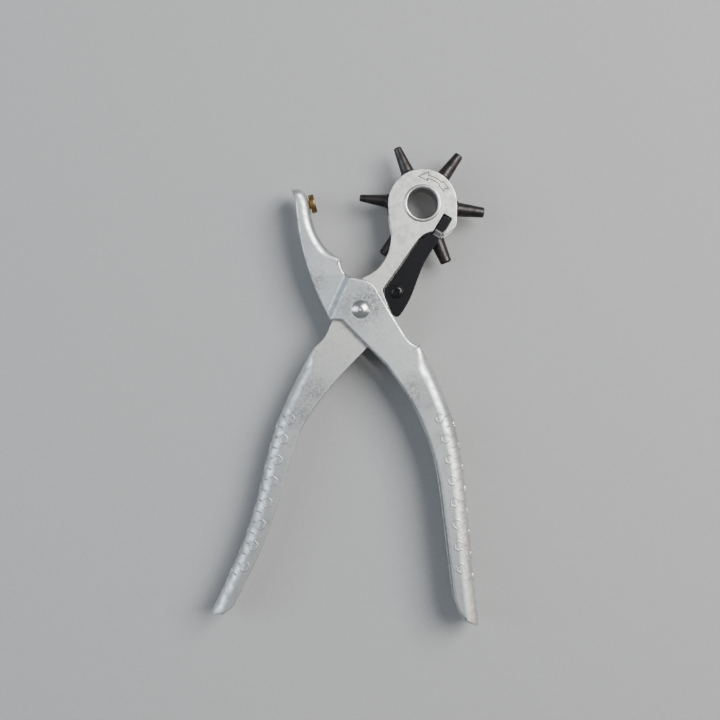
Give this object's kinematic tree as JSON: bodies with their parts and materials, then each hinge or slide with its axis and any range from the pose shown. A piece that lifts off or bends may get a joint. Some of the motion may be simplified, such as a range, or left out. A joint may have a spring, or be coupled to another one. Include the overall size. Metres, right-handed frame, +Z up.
{
  "type": "rotary hole punch",
  "caption": "Revolving leather hole punch pliers with a turning turret of graded punch tubes and a brass anvil.",
  "frame": {"origin": "the hollow turret axle's axis, at the tool's mid-plane", "axes": "+Z up along the turret's axis and the pivot, +Y from the handles to the turret, +X across"},
  "size_m": [0.1198, 0.2091, 0.0214],
  "materials": {
    "zinc_steel": "bright zinc plate",
    "rivet_steel": "polished",
    "bare_steel": "plain steel",
    "brass": "dull brass",
    "black_steel": "black oxide",
    "spring_steel": "blued spring steel"
  },
  "bodies": {
    "turret_lever": {"turret_lever": "zinc_steel", "pivot_sleeve": "bare_steel", "return_spring": "spring_steel", "turret_axle": "rivet_steel", "turret_sleeve": "bare_steel", "index_spring": "spring_steel", "spring_post": "bare_steel", "index_screw": "black_steel"},
    "anvil_lever": {"anvil_lever": "zinc_steel", "anvil": "brass", "pivot_rivet": "rivet_steel", "pivot_washer_front": "bare_steel", "pivot_washer_rear": "bare_steel"},
    "turret": {"turret_drum": "black_steel", "punch_tube_1": "black_steel", "punch_tube_2": "black_steel", "punch_tube_3": "black_steel", "punch_tube_4": "black_steel", "punch_tube_5": "black_steel", "punch_tube_6": "black_steel"}
  },
  "joints": [
    {"name": "lever_pivot", "type": "hinge", "parent": "turret_lever", "child": "anvil_lever", "pos_m": [-0.0267, -0.046, 0], "axis": [0, 0, 1], "range_deg": [-22.5, 0], "stiffness_Nm_per_rad": 0.6, "springref_deg": 20.05, "deforming": ["return_spring"]},
    {"name": "turret_spin", "type": "hinge", "parent": "turret_lever", "child": "turret", "pos_m": [0, 0, 0], "axis": [0, 0, 1], "continuous": true, "deforming": ["index_spring"]}
  ]
}
